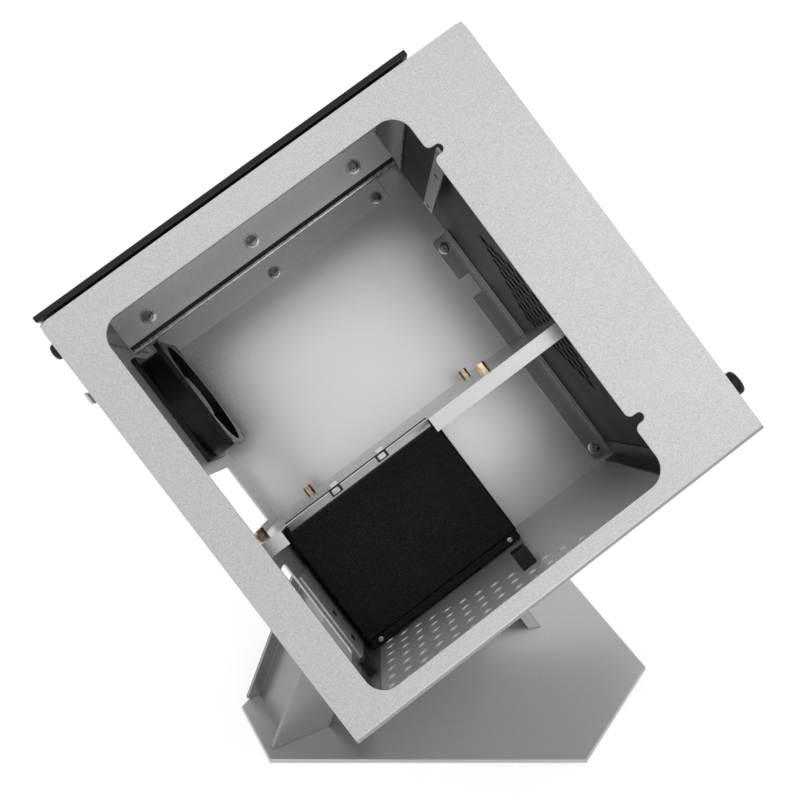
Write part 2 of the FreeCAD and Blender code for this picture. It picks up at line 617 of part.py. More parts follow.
side_rail = body("right_rail")
rail_leg = add(side_rail, "right_rail_back", "z", "sheet", "sheet + inner_sheet",
               box("vent_x - right_rail_leg", "vent_x", "right_rail_low", "right_rail_high"))
edges = local_edges(rail_leg, (0, 0, 1), lambda p: near(p.x, size("vent_x") - size("right_rail_leg")))
soften(side_rail, "right_rail_corners", rail_leg, edges, "right_rail_round")
add(side_rail, "right_rail_side", "x", "vent_x - inner_sheet", "vent_x",
    box("right_rail_low", "right_rail_high", "sheet + inner_sheet", "sheet + right_rail_reach"))
cut(side_rail, "right_rail_notch", "z", "sheet - 1", "sheet + inner_sheet + 0.5",
    box("vent_x - right_rail_leg - 1", "vent_x - right_rail_leg + right_rail_notch_deep",
        "right_rail_notch_low", "right_rail_notch_high"))

rail_screw = body("rail_screws")
on_cross = [("screw_cross_first + %d * screw_cross_step" % i, high + " - screw_cross_drop")
            for i in range(3)]
on_back = [("screw_back_first + %d * screw_back_step" % i, "screw_back_y") for i in range(2)]
on_back += [("screw_right_x", "screw_right_low + %d * screw_right_step" % i) for i in range(2)]
add(rail_screw, "cross_heads", "z", "cross_z", "cross_z + screw_high",
    rings=[(u, v, "screw_head") for u, v in on_cross])
cut(rail_screw, "cross_sockets", "z", "cross_z + screw_high / 2", "cross_z + screw_high + 1",
    more=[polygon(u, v, "screw_socket", 6) for u, v in on_cross])
add(rail_screw, "back_heads", "z", "sheet + inner_sheet", "sheet + inner_sheet + screw_high",
    rings=[(u, v, "screw_head") for u, v in on_back])
cut(rail_screw, "back_sockets", "z", "sheet + inner_sheet + screw_high / 2",
    "sheet + inner_sheet + screw_high + 1", more=[polygon(u, v, "screw_socket", 6) for u, v in on_back])

# Corner strips along the depth of the case
posts = body("corner_strips")
start = "sheet + right_rail_reach"
low = "sheet"
left_post = [(inside, inside + " + post_leg"), (inside, inside + " + inner_sheet")]
right_post = [("vent_x - 2 * post_leg", "vent_x"), ("vent_x - inner_sheet", "vent_x")]
channel_strip = body("corner_channel")
for name, (flat, leg) in (("left", left_post), ("right", right_post)):
    add(posts, name + "_high", "z", start, "post_front", box(*flat, high + " - inner_sheet", high))
    add(posts, name + "_high_leg", "z", start, "post_front",
        box(*leg, high + " - post_leg", high + " - inner_sheet"))
    owner = posts if name == "left" else channel_strip
    flat = flat if name == "left" else (rail_right + " + post_leg", "vent_x")
    tall = "post_leg" if name == "left" else "channel_high"
    add(owner, name + "_low", "z", start, "post_front", box(*flat, low, low + " + inner_sheet"))
    add(owner, name + "_low_leg", "z", start, "post_front",
        box(*leg, low + " + inner_sheet", low + " + " + tall))
cut(posts, "rail_room", "z", start + " - 1", "cross_z + 1",
    box(rail_right + " - 1", rail_right + " + 0.5", high + " - inner_sheet - 1", high + " + 1"))

strip = body("hanger_strip")
add(strip, "strip_plate", "x", "strip_x", "strip_x + inner_sheet",
    box("strip_low", "strip_high", "strip_back", "case_size - sheet"))
cut(strip, "strip_holes", "x", "strip_x - 1", "strip_x + inner_sheet + 1",
    rings=[("(strip_low + strip_high) / 2", "strip_back + strip_hole_first", "strip_hole"),
           ("(strip_low + strip_high) / 2", "strip_back + strip_hole_second", "strip_hole")])

blocks = body("support_blocks")
add(blocks, "middle_block", "y", "sheet", "sheet + block_high",
    box("block_x", "block_x + block_width", "block_back", "block_back + block_long"))
add(blocks, "rear_block", "y", "sheet + inner_sheet", "sheet + block_high",
    box(inside + " + inner_sheet", inside + " + inner_sheet + block_edge",
        "block_back - 2 * block_long", "block_back - block_long"))

# Glass over the top wall, carried on four pads
glass = body("glass_panel")
add(glass, "glass_plate", "y", "case_size + glass_gap", "case_size + glass_gap + glass_thick",
    box("0", "glass_wide", "case_size - glass_wide", "case_size"))
pads = body("glass_pads")
add(pads, "glass_pad_set", "y", "case_size", "case_size + glass_gap",
    more=[square(u, v, "glass_pad") for u in ("glass_inset", "glass_wide - glass_inset")
          for v in ("case_size - glass_inset", "case_size - glass_wide + glass_inset")])

# Power button in its guide
guide = body("button_guide")
floor = "case_size - button_skirt - button_travel - button_clear"
add(guide, "guide_tube", "x", floor + " - guide_stop", "case_size",
    rings=[("button_y", "button_z", "button_radius + button_clear + guide_wall")])
cut(guide, "guide_bore", "x", floor, "case_size + 1",
    rings=[("button_y", "button_z", "button_radius + button_clear")])
button = body("power_button")
stem = add(button, "button_stem", "x", "case_size - button_skirt", "case_size + button_proud",
           rings=[("button_y", "button_z", "button_radius")])
doc.recompute()
tips = [i for i, e in enumerate(stem.Shape.Edges, 1)
        if e.isClosed() and near(e.CenterOfMass.x, size("case_size") + size("button_proud"))]
soften(button, "button_end", stem, ["Edge%d" % i for i in tips], "button_dome", "Chamfer")

knob = body("rear_knob")
shaft = add(knob, "knob_stem", "x", "-knob_proud", "rear_recess",
            rings=[("knob_y", "knob_z", "knob_radius")])
doc.recompute()
tips = [i for i, e in enumerate(shaft.Shape.Edges, 1)
        if e.isClosed() and near(e.CenterOfMass.x, -size("knob_proud"))]
soften(knob, "knob_end", shaft, ["Edge%d" % i for i in tips], "knob_radius / 2", "Chamfer")

hook = body("rear_hook")
add(hook, "hook_stem", "x", "-hook_proud", "rear_recess",
    box("hook_y", "hook_y + hook_wide", "hook_z", "hook_z + inner_sheet"))
add(hook, "hook_lip", "x", "-hook_proud", "-hook_proud + inner_sheet",
    box("hook_y", "hook_y + hook_wide", "hook_z + inner_sheet", "hook_z + hook_long"))

# Base plate: a triangle with cut corners, edges at sixty degrees
upright = FreeCAD.Rotation()
top_of_base = size("pad_thick") + size("base_thick")
base = body("base_plate", FreeCAD.Placement(
    FreeCAD.Vector(size("base_x"), size("base_y"), size("pad_thick")), upright))
rise = "sqrt(3) / 2"
right_x = "base_cut / 2 + base_front + base_cut_right / 2"
far_y = "(base_cut_right + base_front) * " + rise
far_x = "(base_cut_right + base_front - base_cut) / 2"
plate_corners = [("base_cut / 2", "0"), ("base_cut / 2 + base_front", "0"),
                 (right_x, "base_cut_right * " + rise), (far_x + " + base_cut", far_y),
                 (far_x, far_y), ("0", "base_cut * " + rise)]
slab = add(base, "base_slab", "z", "0", "base_thick", plate_corners)
doc.recompute()
edges = ["Edge%d" % i for i, e in enumerate(slab.Shape.Edges, 1)
         if all(near(v.Z, slab.Shape.BoundBox.ZMax) for v in e.Vertexes)]
soften(base, "base_edges", slab, edges, "base_chamfer", "Chamfer")

feet = body("base_pads", FreeCAD.Placement(FreeCAD.Vector(size("base_x"), size("base_y"), 0), upright))
add(feet, "base_pad_set", "z", "0", "pad_thick",
    more=[square("base_cut / 2 + pad_inset", "pad_inset", "pad_size"),
          square("base_cut / 2 + base_front - pad_inset / 2", "pad_inset", "pad_size"),
          square(right_x + " - pad_inset * 1.4", "base_cut_right * " + rise, "pad_size"),
          square(far_x + " + base_cut / 2", far_y + " - pad_inset", "pad_size"),
          square("pad_inset * 1.4", "base_cut * " + rise + " + pad_inset / 2", "pad_size"),
          square("-base_x", "-base_y", "pad_size")])

seat = body("corner_seat", FreeCAD.Placement(
    FreeCAD.Vector(size("case_x"), size("case_y"), top_of_base), upright))
add(seat, "seat_block", "z", "0", "corner_gap",
    box("-seat_size / 2", "seat_size / 2", "-seat_size / 2", "seat_size / 2"))

# Left leg, an open channel whose upper end lies flat on the rear wall
left_leg = body("left_leg", FreeCAD.Placement(
    FreeCAD.Vector(size("left_x"), size("left_y"), top_of_base),
    FreeCAD.Rotation(FreeCAD.Vector(0, 0, 1), size("case_yaw"))))
reach = "(cos(case_yaw) * (left_x - case_x) + sin(case_yaw) * (left_y - case_y)) * cos(case_pitch)"
wall_up = "(corner_gap + (rear_recess - %s) / sin(case_pitch))" % reach
under = "(%s - leg_sheet / sin(case_pitch))" % wall_up
climb = "tan(left_lean)"
both = "(tan(left_lean) + 1 / tan(case_pitch))"


def on_wall(trace, setback):
    # where a line of the leg's slope, set back along the foot, meets the wall
    across = "((%s + %s * (%s)) / %s)" % (trace, climb, setback, both)
    return across, "%s * (%s - (%s))" % (climb, across, setback)


def channel(trace, outer, inner):
    return [(outer, "0"), (inner, "0"), on_wall(trace, inner), on_wall(trace, outer)]


add(left_leg, "leg_blank", "y", "-left_wide / 2", "left_wide / 2", channel(wall_up, "0", "left_foot"))
web = "left_web + leg_sheet / sin(left_lean)"
cut(left_leg, "leg_outside", "y", "-left_wide / 2 + leg_sheet", "left_wide / 2 - leg_sheet",
    channel(under, "-2", "left_web"))
cut(left_leg, "leg_inside", "y", "-left_wide / 2 + leg_sheet", "left_wide / 2 - leg_sheet",
    channel(under, web, "left_foot + 2"))

# Back leg, two cheeks on a plate that lies on the back wall, trimmed by the base
blank = body("back_leg_blank")
back_right = "back_left + back_wide"
deep = "back_set + back_deep"
cheek = [("back_high", "0"), ("back_low", "0"), ("-back_set / 4", "-back_set"),
         ("-3 * back_deep", "-back_set"), ("-3 * back_deep", "-(%s)" % deep),
         ("0", "-(%s)" % deep), ("back_high", "-2 * leg_sheet")]
add(blank, "back_block", "x", "back_left", back_right, cheek)
cut(blank, "back_room", "x", "back_left + leg_sheet", back_right + " - leg_sheet",
    box("-3 * back_deep - 1", "back_high + 1", "-(%s) - 1" % deep, "-leg_sheet"))
add(blank, "back_lip_plate", "x", back_right + " - back_lip", back_right + " - leg_sheet",
    box("-3 * back_deep", "-back_set / 4", "-back_set - leg_sheet", "-back_set"))
ground = doc.addObject("Part::Box", "ground_block")
for side_name in ("Length", "Width", "Height"):
    ground.setExpression(side_name, "sizes.trim_size")
edge = size("trim_size")
ground.Placement = FreeCAD.Placement(FreeCAD.Vector(-edge / 2, -edge / 2, top_of_base - edge), upright)
back_leg = doc.addObject("Part::Cut", "back_leg")
back_leg.Base = blank
back_leg.Tool = ground
back_leg.Label = "back_leg"

# Socket-head bolts through the two legs
bolts = []
turned = FreeCAD.Rotation(FreeCAD.Vector(0, 0, 1), size("case_yaw"))
foot_mid = "(%s + left_foot) / 2" % web
spot_x, spot_z = on_wall(under, foot_mid)
for shift in (-0.25, 0.25):
    offset = FreeCAD.Vector(number(worth(spot_x)), shift * size("left_wide"), number(worth(spot_z)))
    spot = left_leg.Placement.multVec(offset)
    bolts.append(FreeCAD.Placement(spot, CASE.Rotation * FreeCAD.Rotation(FreeCAD.Vector(0, 1, 0), -90)))
for shift in (0.3, 0.7):
    spot = CASE.multVec(FreeCAD.Vector(size("back_left") + shift * size("back_wide"),
                                       (size("back_low") + size("back_high")) / 2, -size("leg_sheet")))
    bolts.append(FreeCAD.Placement(spot, CASE.Rotation * FreeCAD.Rotation(FreeCAD.Vector(1, 0, 0), 180)))
heads = []
for i, place in enumerate(bolts, 1):
    head = doc.addObject("Part::Cylinder", "bolt_head_%d" % i)
    head.setExpression("Radius", "sizes.bolt_head")
    head.setExpression("Height", "sizes.bolt_high")
    head.Placement = place
    socket = doc.addObject("Part::Prism", "bolt_socket_%d" % i)
    socket.Polygon = 6
    socket.setExpression("Circumradius", "sizes.bolt_socket")
    socket.setExpression("Height", "sizes.bolt_high")
    socket.Placement = place * FreeCAD.Placement(FreeCAD.Vector(0, 0, size("bolt_high") / 2), upright)
    bolt = doc.addObject("Part::Cut", "bolt_%d" % i)
    bolt.Base = head
    bolt.Tool = socket
    heads.append(bolt)
leg_bolts = doc.addObject("Part::Compound", "leg_bolts")
leg_bolts.Links = heads
leg_bolts.Label = "leg_bolts"

PIECES = [front_shell, back, top, cover, rear, vent, tray, stand_off, supply, chassis,
          frame, impeller, fan_screw, rail, cross, side_rail, rail_screw, posts, channel_strip, strip,
          blocks, glass, pads, guide, button, knob, hook, base, feet, seat,
          left_leg, back_leg, leg_bolts]

doc.recompute()
wrong = [o.Name for o in doc.Objects if "Invalid" in o.State or "Error" in o.State]
for piece in PIECES:
    shape = piece.Shape
    if shape.isNull() or not shape.isValid() or not shape.Solids:
        wrong.append(piece.Label)
if wrong:
    raise RuntimeError("pieces to mend: " + ", ".join(wrong))

os.makedirs("parts", exist_ok=True)
for piece in PIECES:
    piece.Shape.exportStep("parts/%s.step" % piece.Label)
    print(piece.Label, len(piece.Shape.Solids), round(piece.Shape.Volume / 1000.0, 2))
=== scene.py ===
import bpy
import json
import math
from mathutils import Euler, Matrix, Vector

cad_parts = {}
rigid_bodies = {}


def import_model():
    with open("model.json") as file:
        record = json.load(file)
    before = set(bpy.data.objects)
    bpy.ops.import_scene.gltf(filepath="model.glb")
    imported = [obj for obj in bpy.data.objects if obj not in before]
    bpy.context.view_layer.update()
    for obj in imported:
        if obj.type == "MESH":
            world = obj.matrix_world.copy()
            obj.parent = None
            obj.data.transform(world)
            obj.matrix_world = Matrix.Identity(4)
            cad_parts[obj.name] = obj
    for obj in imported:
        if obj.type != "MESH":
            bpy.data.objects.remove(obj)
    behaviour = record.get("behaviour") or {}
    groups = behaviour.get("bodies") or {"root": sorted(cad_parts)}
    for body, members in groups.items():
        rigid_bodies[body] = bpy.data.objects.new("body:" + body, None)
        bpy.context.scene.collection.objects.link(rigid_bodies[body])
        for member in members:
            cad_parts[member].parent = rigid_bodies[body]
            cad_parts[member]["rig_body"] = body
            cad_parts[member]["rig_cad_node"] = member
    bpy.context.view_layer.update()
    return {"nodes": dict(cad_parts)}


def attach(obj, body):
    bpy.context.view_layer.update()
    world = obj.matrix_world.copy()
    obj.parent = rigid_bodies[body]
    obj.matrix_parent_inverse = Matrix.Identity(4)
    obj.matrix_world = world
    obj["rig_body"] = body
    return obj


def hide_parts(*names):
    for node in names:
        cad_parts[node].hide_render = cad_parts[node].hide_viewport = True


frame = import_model()
nodes = frame["nodes"]
print("frame loaded,", len(nodes), "nodes")

# The case stands on its lowest corner. Case pieces are drawn square to it, in metres:
# x towards the right cover, y towards the glass, z towards the open front.
caseStand = {"roll": 47.78, "pitch": -25.61, "yaw": 28.25, "corner": (-0.068, -0.010, 0.010)}
caseTurn = Euler([math.radians(caseStand[key]) for key in ("roll", "pitch", "yaw")], "XYZ")
caseMatrix = Matrix.Translation(caseStand["corner"]) @ caseTurn.to_matrix().to_4x4()
toCase = caseMatrix.to_3x3().inverted()


def deselectAll():
    if bpy.context.object and bpy.context.object.mode != "OBJECT":
        bpy.ops.object.mode_set(mode="OBJECT")
    bpy.ops.object.select_all(action="DESELECT")


def pick(obj):
    deselectAll()
    obj.select_set(True)
    bpy.context.view_layer.objects.active = obj


def remove(obj):
    pick(obj)
    bpy.ops.object.delete()


def settle(obj, matrix=None):
    # the place goes into the mesh, so the object ends at the origin
    pick(obj)
    if matrix:
        obj.matrix_world = matrix @ obj.matrix_world
    bpy.ops.object.transform_apply(location=True, rotation=True, scale=True)


def applyModifier(obj, kind, **settings):
    pick(obj)
    modifier = obj.modifiers.new(kind.lower(), kind)
    for key, value in settings.items():
        setattr(modifier, key, value)
    bpy.ops.object.modifier_apply(modifier=modifier.name)


def paint(obj, material):
    obj.data.materials.clear()
    obj.data.materials.append(material)


def startMaterial(name):
    material = bpy.data.materials.new(name)
    material.use_nodes = True
    shader = material.node_tree.nodes["Principled BSDF"]
    return material, material.node_tree, shader


def addNode(tree, kind, **settings):
    node = tree.nodes.new(kind)
    for key, value in settings.items():
        if key in node.inputs:
            node.inputs[key].default_value = value
        else:
            setattr(node, key, value)
    return node


def maths(tree, operation, first, second=None):
    node = addNode(tree, "ShaderNodeMath", operation=operation)
    tree.links.new(first, node.inputs[0])
    if isinstance(second, float):
        node.inputs[1].default_value = second
    elif second:
        tree.links.new(second, node.inputs[1])
    return node.outputs["Value"]


def objectSpace(tree):
    return addNode(tree, "ShaderNodeTexCoord").outputs["Object"]


def noise(tree, space, scale, detail=2.0, roughness=0.5):
    node = addNode(tree, "ShaderNodeTexNoise", Scale=scale, Detail=detail, Roughness=roughness)
    tree.links.new(space, node.inputs["Vector"])
    return node.outputs["Fac"]


def spread(tree, value, low, high, fromLow=0.3, fromHigh=0.7):
    node = addNode(tree, "ShaderNodeMapRange")
    limits = {"From Min": fromLow, "From Max": fromHigh, "To Min": low, "To Max": high}
    for key, number in limits.items():
        node.inputs[key].default_value = number
    tree.links.new(value, node.inputs["Value"])
    return node.outputs["Result"]


def tint(tree, value, dark, light, low=0.35, high=0.65):
    ramp = addNode(tree, "ShaderNodeValToRGB")
    ends = ((low, dark), (high, light))
    for element, (position, colour) in zip(ramp.color_ramp.elements, ends):
        element.position = position
        element.color = (*colour, 1)
    tree.links.new(value, ramp.inputs["Fac"])
    return ramp.outputs["Color"]


def bump(tree, value, shader, strength, distance):
    node = addNode(tree, "ShaderNodeBump", Strength=strength, Distance=distance)
    tree.links.new(value, node.inputs["Height"])
    tree.links.new(node.outputs["Normal"], shader.inputs["Normal"])


# Metal sheets: bead-blasted outside, smoother inside, darker on the stand. The bright and satin inner
# copies are lighter as painted light; the grey and dark inner copies and the leg metal are darker as
# painted shade
metalSheets = {
    "blastedAluminium": {"dark": (0.405, 0.398, 0.411), "light": (0.555, 0.546, 0.561),
                         "grain": 1500, "smooth": 0.38, "rough": 0.46, "bump": 0.26, "metal": 1.0},
    "brightInnerPaintedLight": {"dark": (0.70, 0.70, 0.70), "light": (0.79, 0.79, 0.79),
                    "grain": 1600, "smooth": 0.20, "rough": 0.30, "bump": 0.05, "metal": 0.75},
    "satinInnerPaintedLight": {"dark": (0.74, 0.74, 0.745), "light": (0.84, 0.84, 0.845),
                   "grain": 1600, "smooth": 0.32, "rough": 0.42, "bump": 0.08, "metal": 0.3},
    "innerAluminium": {"dark": (0.50, 0.50, 0.505), "light": (0.60, 0.60, 0.605),
                       "grain": 1600, "smooth": 0.28, "rough": 0.40, "bump": 0.08, "metal": 0.8},
    "greyInnerPaintedShade": {"dark": (0.26, 0.26, 0.263), "light": (0.34, 0.34, 0.343),
                  "grain": 1600, "smooth": 0.26, "rough": 0.36, "bump": 0.08, "metal": 1.0},
    "darkInnerPaintedShade": {"dark": (0.13, 0.13, 0.132), "light": (0.19, 0.19, 0.193),
                  "grain": 1600, "smooth": 0.28, "rough": 0.40, "bump": 0.08, "metal": 1.0},
    "legMetalPaintedShade": {"dark": (0.26, 0.265, 0.27), "light": (0.32, 0.325, 0.33),
                 "grain": 1900, "smooth": 0.26, "rough": 0.36, "bump": 0.04, "metal": 0.75},
    "standMetal": {"dark": (0.46, 0.465, 0.475), "light": (0.52, 0.525, 0.535),
                   "grain": 1900, "smooth": 0.26, "rough": 0.36, "bump": 0.04, "metal": 0.75},
}

# Black finishes: speckled powder coat, near-black vent sheet as painted shade, moulded plastic,
# rubber; the plastic and rubber also serve as painted shade in gaps, slots and holes
blackFinishes = {
    "powderCoat": {"dark": (0.001, 0.001, 0.001), "light": (0.10, 0.10, 0.103), "ramp": (0.50, 0.80),
                   "grain": 2000, "smooth": 0.30, "rough": 0.42, "bump": 0.6, "specular": 0.14},
    # painted shade: the vent wall is aluminium, coloured near black for the shade on it
    "ventSheetPaintedShade": {"dark": (0.018, 0.018, 0.018), "light": (0.032, 0.032, 0.032),
                  "grain": 1600, "smooth": 0.42, "rough": 0.55, "bump": 0.05, "specular": 0.25},
    "blackPlasticAndShade": {"dark": (0.002, 0.002, 0.002), "light": (0.006, 0.006, 0.006),
                     "grain": 700, "smooth": 0.30, "rough": 0.44, "bump": 0.1, "specular": 0.3},
    "blackRubberAndShade": {"dark": (0.010, 0.010, 0.010), "light": (0.022, 0.022, 0.022),
                    "grain": 900, "smooth": 0.65, "rough": 0.85, "bump": 0.3, "specular": 0.3},
}
sheetGrain = {"detail": 3.0, "cloud": 9.0}
blackGrain = {"detail": 2.0, "cloud": 14.0}
grainRelief = 0.0003
grainRoughness = 0.6
cloudRange = (0.1, 0.9)
shaderInputs = {"metal": "Metallic", "specular": "Specular IOR Level"}


def grainedFinish(name, look, grainLook):
    material, tree, shader = startMaterial(name)
    space = objectSpace(tree)
    grain = noise(tree, space, look["grain"], grainLook["detail"], grainRoughness)
    cloud = noise(tree, space, grainLook["cloud"])
    colour = tint(tree, grain, look["dark"], look["light"], *look.get("ramp", ()))
    roughness = spread(tree, cloud, look["smooth"], look["rough"], *cloudRange)
    tree.links.new(colour, shader.inputs["Base Color"])
    tree.links.new(roughness, shader.inputs["Roughness"])
    bump(tree, grain, shader, look["bump"], grainRelief)
    for key, socket in shaderInputs.items():
        if key in look:
            shader.inputs[socket].default_value = look[key]
    return material


# Turned fasteners: brass posts, bright and blackened steel
turnedMetals = {
    "turnedBrass": {"dark": (0.46, 0.32, 0.18), "light": (0.86, 0.68, 0.46), "rough": 0.22},
    "brightSteel": {"dark": (0.34, 0.34, 0.345), "light": (0.52, 0.52, 0.53), "rough": 0.28},
    "greySteel": {"dark": (0.16, 0.16, 0.163), "light": (0.30, 0.30, 0.305), "rough": 0.26},
    "darkSteel": {"dark": (0.05, 0.05, 0.052), "light": (0.12, 0.12, 0.125), "rough": 0.30},
}
turnedGrain = {"scale": 420.0, "smoother": 0.06, "rougher": 0.08, "bump": 0.08, "relief": 0.0002}


def turnedMetal(name):
    look = turnedMetals[name]
    material, tree, shader = startMaterial(name)
    grain = noise(tree, objectSpace(tree), turnedGrain["scale"])
    roughness = spread(tree, grain, look["rough"] - turnedGrain["smoother"],
                       look["rough"] + turnedGrain["rougher"])
    tree.links.new(tint(tree, grain, look["dark"], look["light"]), shader.inputs["Base Color"])
    tree.links.new(roughness, shader.inputs["Roughness"])
    bump(tree, grain, shader, turnedGrain["bump"], turnedGrain["relief"])
    shader.inputs["Metallic"].default_value = 1.0
    return material


glassLook = {"smear": 22.0, "detail": 4.0, "smooth": 0.015, "rough": 0.05,
             "Base Color": (0.012, 0.013, 0.015, 1), "Transmission Weight": 0.4, "IOR": 1.5,
             "Specular IOR Level": 0.15}


def tintedGlass():
    material, tree, shader = startMaterial("tintedGlass")
    smear = noise(tree, objectSpace(tree), glassLook["smear"], glassLook["detail"])
    tree.links.new(spread(tree, smear, glassLook["smooth"], glassLook["rough"]),
                   shader.inputs["Roughness"])
    for socket in ("Base Color", "Transmission Weight", "IOR", "Specular IOR Level"):
        shader.inputs[socket].default_value = glassLook[socket]
    return material


finishes = {name: grainedFinish(name, look, sheetGrain) for name, look in metalSheets.items()}
finishes.update({name: grainedFinish(name, look, blackGrain) for name, look in blackFinishes.items()})
finishes.update({name: turnedMetal(name) for name in turnedMetals})
finishes["tintedGlass"] = tintedGlass()
print("finishes made:", len(finishes))

nodeFinishes = {
    "blastedAluminium": ("front_shell", "top_wall", "right_cover"),
    # painted light: the back wall and the tray are a lighter, more diffuse copy of the sheet
    "brightInnerPaintedLight": ("back_wall", "board_tray"),
    # painted light: the top rail is the lightest, most diffuse copy of the sheet
    "satinInnerPaintedLight": ("top_rail",),
    "innerAluminium": ("cross_rail", "rear_wall", "corner_strips", "hanger_strip", "rear_hook"),
    # painted shade: the right rail is a darker grey copy of the sheet
    "greyInnerPaintedShade": ("right_rail",),
    # painted shade: the vent wall is a near-black copy of the sheet
    "ventSheetPaintedShade": ("vent_wall",),
    "standMetal": ("base_plate",),
    # painted shade: the legs are a darker copy of the stand metal
    "legMetalPaintedShade": ("left_leg", "back_leg"),
    "powderCoat": ("supply_cover", "supply_chassis"),
    # painted shade: corner_channel is black for the shade in the gap in that corner; the other parts
    # here are black plastic
    "blackPlasticAndShade": ("fan_frame", "fan_impeller", "support_blocks", "power_button", "button_guide",
                     "rear_knob", "corner_channel"),
    "turnedBrass": ("standoffs",),
    "darkSteel": ("rail_screws", "fan_screws"),
    "brightSteel": ("leg_bolts",),
    "tintedGlass": ("glass_panel",),
    "blackRubberAndShade": ("glass_pads", "base_pads", "corner_seat"),
}
finishOf = {node: finish for finish, group in nodeFinishes.items() for node in group}
for node, finish in finishOf.items():
    paint(nodes[node], finishes[finish])

# Sheet edges are broken a little, so they catch the light
edgeBreaks = {"front_shell": 0.0004, "base_plate": 0.0006, "left_leg": 0.0005,
              "board_tray": 0.0003, "top_rail": 0.0003, "cross_rail": 0.0003,
              "right_rail": 0.0003, "rear_wall": 0.0003, "supply_cover": 0.0005,
              "supply_chassis": 0.0004, "right_cover": 0.0004, "top_wall": 0.0004,
              "glass_panel": 0.0006, "back_leg": 0.0005, "hanger_strip": 0.0002,
              "corner_strips": 0.0002, "support_blocks": 0.0006, "corner_channel": 0.0003}
edgeLook = {"merge": 0.00002, "flat": 1, "corner": 35, "smooth": 32, "segments": 2, "weight": 100}


def brokenEdges(node, width):
    pick(nodes[node])
    bpy.ops.object.duplicate()
    piece = bpy.context.object
    piece.name = node + "_edged"
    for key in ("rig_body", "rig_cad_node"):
        del piece[key]
    bpy.ops.object.parent_clear(type="CLEAR_KEEP_TRANSFORM")
    bpy.ops.object.mode_set(mode="EDIT")
    bpy.ops.mesh.select_all(action="SELECT")
    bpy.ops.mesh.remove_doubles(threshold=edgeLook["merge"])
    bpy.ops.mesh.dissolve_limited(angle_limit=math.radians(edgeLook["flat"]))
    bpy.ops.object.mode_set(mode="OBJECT")
    applyModifier(piece, "BEVEL", width=width, segments=edgeLook["segments"], limit_method="ANGLE",
                  angle_limit=math.radians(edgeLook["corner"]), use_clamp_overlap=True)
    bpy.ops.object.shade_smooth_by_angle(angle=math.radians(edgeLook["smooth"]))
    applyModifier(piece, "WEIGHTED_NORMAL", weight=edgeLook["weight"], keep_sharp=True)
    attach(piece, "case")
    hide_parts(node)
    return piece


edged = {}
for node, width in edgeBreaks.items():
    edged[node] = brokenEdges(node, width)
    paint(edged[node], finishes[finishOf[node]])
print("edges broken on", len(edgeBreaks), "pieces")


def paintFaces(piece, finish, wanted):
    slot = len(piece.data.materials)
    piece.data.materials.append(finishes[finish])
    for face in piece.data.polygons:
        if wanted(toCase @ face.normal):
            face.material_index = slot


# Painted light: the inner faces get the lighter, more diffuse satin copy of the sheet, as on the top
# rail; painted shade: the tray's flange, which faces the light, gets the darker plain inner sheet.
# Each side is an axis of the case and its sense
litInnerShadedFlangeSides = {"front_shell": ("satinInnerPaintedLight", [(1, 1), (2, -1)]), "top_wall": ("satinInnerPaintedLight", [(1, -1)]),
              "rear_wall": ("satinInnerPaintedLight", [(0, 1)]), "board_tray": ("innerAluminium", [(2, 1)])}
squareOn = 0.9
for node, (finish, sides) in litInnerShadedFlangeSides.items():
    paintFaces(edged[node], finish, lambda normal: any(normal[axis] * sense > squareOn
                                                       for axis, sense in sides))

# Painted shade: the fold below the front plate faces the floor and is coloured darker
foldShadeTurn = {"down": -0.25, "front": 0.05}
paintFaces(edged["front_shell"], "greyInnerPaintedShade",
           lambda normal: normal.y < foldShadeTurn["down"] and normal.z > foldShadeTurn["front"])
print("inner faces painted")


def addCylinder(name, radius, low, high, sides=40):
    deselectAll()
    bpy.ops.mesh.primitive_cylinder_add(vertices=sides, radius=radius, depth=high - low,
                                        location=(0, 0, (low + high) / 2))
    bpy.context.object.name = name
    return bpy.context.object


def addBlock(name, low, high):
    deselectAll()
    bpy.ops.mesh.primitive_cube_add(size=1, location=[(a + b) / 2 for a, b in zip(low, high)])
    block = bpy.context.object
    block.name = name
    block.scale = [b - a for a, b in zip(low, high)]
    bpy.ops.object.transform_apply(location=True, rotation=True, scale=True)
    return block


pieceLook = {"corner": 50, "smooth": 40}


def roundEdges(obj, width, segments=3):
    applyModifier(obj, "BEVEL", width=width, segments=segments, limit_method="ANGLE",
                  angle_limit=math.radians(pieceLook["corner"]))


def joinAll(name, pieces):
    deselectAll()
    for piece in pieces:
        piece.select_set(True)
    bpy.context.view_layer.objects.active = pieces[0]
    bpy.ops.object.join()
    bpy.context.object.name = name
    return bpy.context.object


def copies(name, model, matrices):
    made = []
    for matrix in matrices:
        pick(model)
        bpy.ops.object.duplicate()
        made.append(bpy.context.object)
        settle(made[-1], matrix)
    remove(model)
    return joinAll(name, made)


def complete(piece, finish, body="case", replaced=None, matrix=caseMatrix):
    settle(piece, matrix)
    bpy.ops.object.shade_smooth_by_angle(angle=math.radians(pieceLook["smooth"]))
    paint(piece, finishes[finish])
    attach(piece, body)
    if replaced:
        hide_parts(replaced)


def at(x, y, z):
    return Matrix.Translation((x, y, z))


def turned(degrees, axis):
    return Matrix.Rotation(math.radians(degrees), 4, axis)


toRight = turned(90, "Y")
toRear = turned(-90, "Y")
toBack = turned(180, "X")
hexagon = 6
fewSides = 24

